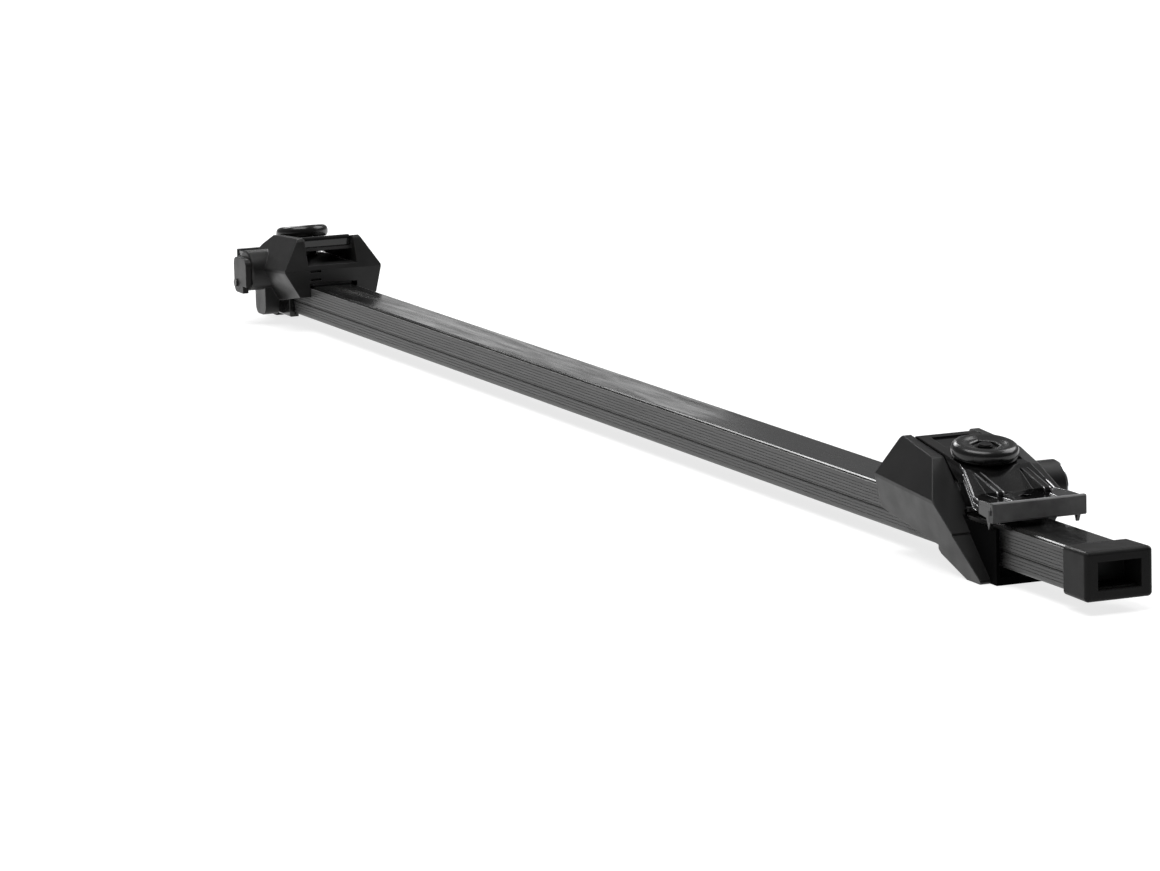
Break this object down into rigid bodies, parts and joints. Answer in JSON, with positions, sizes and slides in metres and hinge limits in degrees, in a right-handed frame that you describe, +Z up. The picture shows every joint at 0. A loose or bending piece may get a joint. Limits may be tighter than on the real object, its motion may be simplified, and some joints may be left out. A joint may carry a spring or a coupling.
{
  "type": "roof rack crossbar",
  "caption": "Square steel roof rack crossbar with a ribbed jacket, open end caps and sliding clamp feet with disc nuts and locks, lying clamps up.",
  "frame": {"origin": "middle of the bar's length and of its jacketed section", "axes": "+X along the bar to its right end, +Z up as stored, from the load face to the clamps, +Y to the side of the right foot's lock"},
  "size_m": [1.2206, 0.094, 0.0666],
  "materials": {
    "gloss_black_steel": "gloss black paint",
    "ribbed_plastic": "satin, finely ribbed",
    "black_plastic": "fine grain",
    "soft_rubber": "matt",
    "zinc_steel": "zinc plated",
    "lock_chrome": "polished"
  },
  "bodies": {
    "bar": {"bar_tube": "gloss_black_steel", "bar_jacket": "ribbed_plastic", "end_cap_left": "black_plastic", "end_cap_right": "black_plastic"},
    "foot_left": {"foot_housing_left": "black_plastic", "top_pad_left": "soft_rubber", "bar_jaw_left": "gloss_black_steel", "side_bolt_left": "zinc_steel", "bolt_nut_left": "zinc_steel", "clamp_stud_left": "zinc_steel", "cover_rivet_left": "zinc_steel"},
    "plate_left": {"clamp_plate_left": "gloss_black_steel", "edge_strip_left": "soft_rubber", "thrust_washer_left": "zinc_steel"},
    "disc_left": {"disc_nut_left": "black_plastic", "nut_insert_left": "zinc_steel"},
    "lock_left": {"lock_barrel_left": "lock_chrome"},
    "foot_right": {"foot_housing_right": "black_plastic", "top_pad_right": "soft_rubber", "bar_jaw_right": "gloss_black_steel", "side_bolt_right": "zinc_steel", "bolt_nut_right": "zinc_steel", "clamp_stud_right": "zinc_steel"},
    "plate_right": {"clamp_plate_right": "gloss_black_steel", "edge_strip_right": "soft_rubber", "thrust_washer_right": "zinc_steel"},
    "disc_right": {"disc_nut_right": "black_plastic", "nut_insert_right": "zinc_steel"},
    "lock_right": {"lock_barrel_right": "lock_chrome"},
    "cover_left": {"lock_cover_left": "black_plastic"}
  },
  "joints": [
    {"name": "foot_slide_left", "type": "slide", "parent": "bar", "child": "foot_left", "axis": [1, 0, 0], "range_m": [-0.003, 0.4]},
    {"name": "plate_lift_left", "type": "slide", "parent": "foot_left", "child": "plate_left", "axis": [-0.1478, 0, 0.989], "range_m": [0, 0.003]},
    {"name": "disc_turn_left", "type": "hinge", "parent": "plate_left", "child": "disc_left", "pos_m": [-0.56, 0, 0.0368], "axis": [-0.1478, 0, 0.989], "range_deg": [0, 864]},
    {"name": "lock_turn_left", "type": "hinge", "parent": "foot_left", "child": "lock_left", "pos_m": [-0.557, -0.043, 0.018], "axis": [0, -1, 0], "range_deg": [0, 90]},
    {"name": "foot_slide_right", "type": "slide", "parent": "bar", "child": "foot_right", "axis": [1, 0, 0], "range_m": [-0.4, 0.1]},
    {"name": "plate_lift_right", "type": "slide", "parent": "foot_right", "child": "plate_right", "axis": [0.1478, 0, 0.989], "range_m": [0, 0.003]},
    {"name": "disc_turn_right", "type": "hinge", "parent": "plate_right", "child": "disc_right", "pos_m": [0.456, 0, 0.0368], "axis": [0.1478, 0, 0.989], "range_deg": [0, 864]},
    {"name": "lock_turn_right", "type": "hinge", "parent": "foot_right", "child": "lock_right", "pos_m": [0.453, 0.043, 0.018], "axis": [0, 1, 0], "range_deg": [0, 90]},
    {"name": "cover_turn_left", "type": "hinge", "parent": "foot_left", "child": "cover_left", "pos_m": [-0.56428, -0.043, 0.00932], "axis": [0, -1, 0], "range_deg": [0, 110]}
  ],
  "couplings": [
    {"joint": "disc_turn_left", "follows": "plate_lift_left", "rad_per_m": 5026.5},
    {"joint": "disc_turn_right", "follows": "plate_lift_right", "rad_per_m": 5026.5}
  ]
}
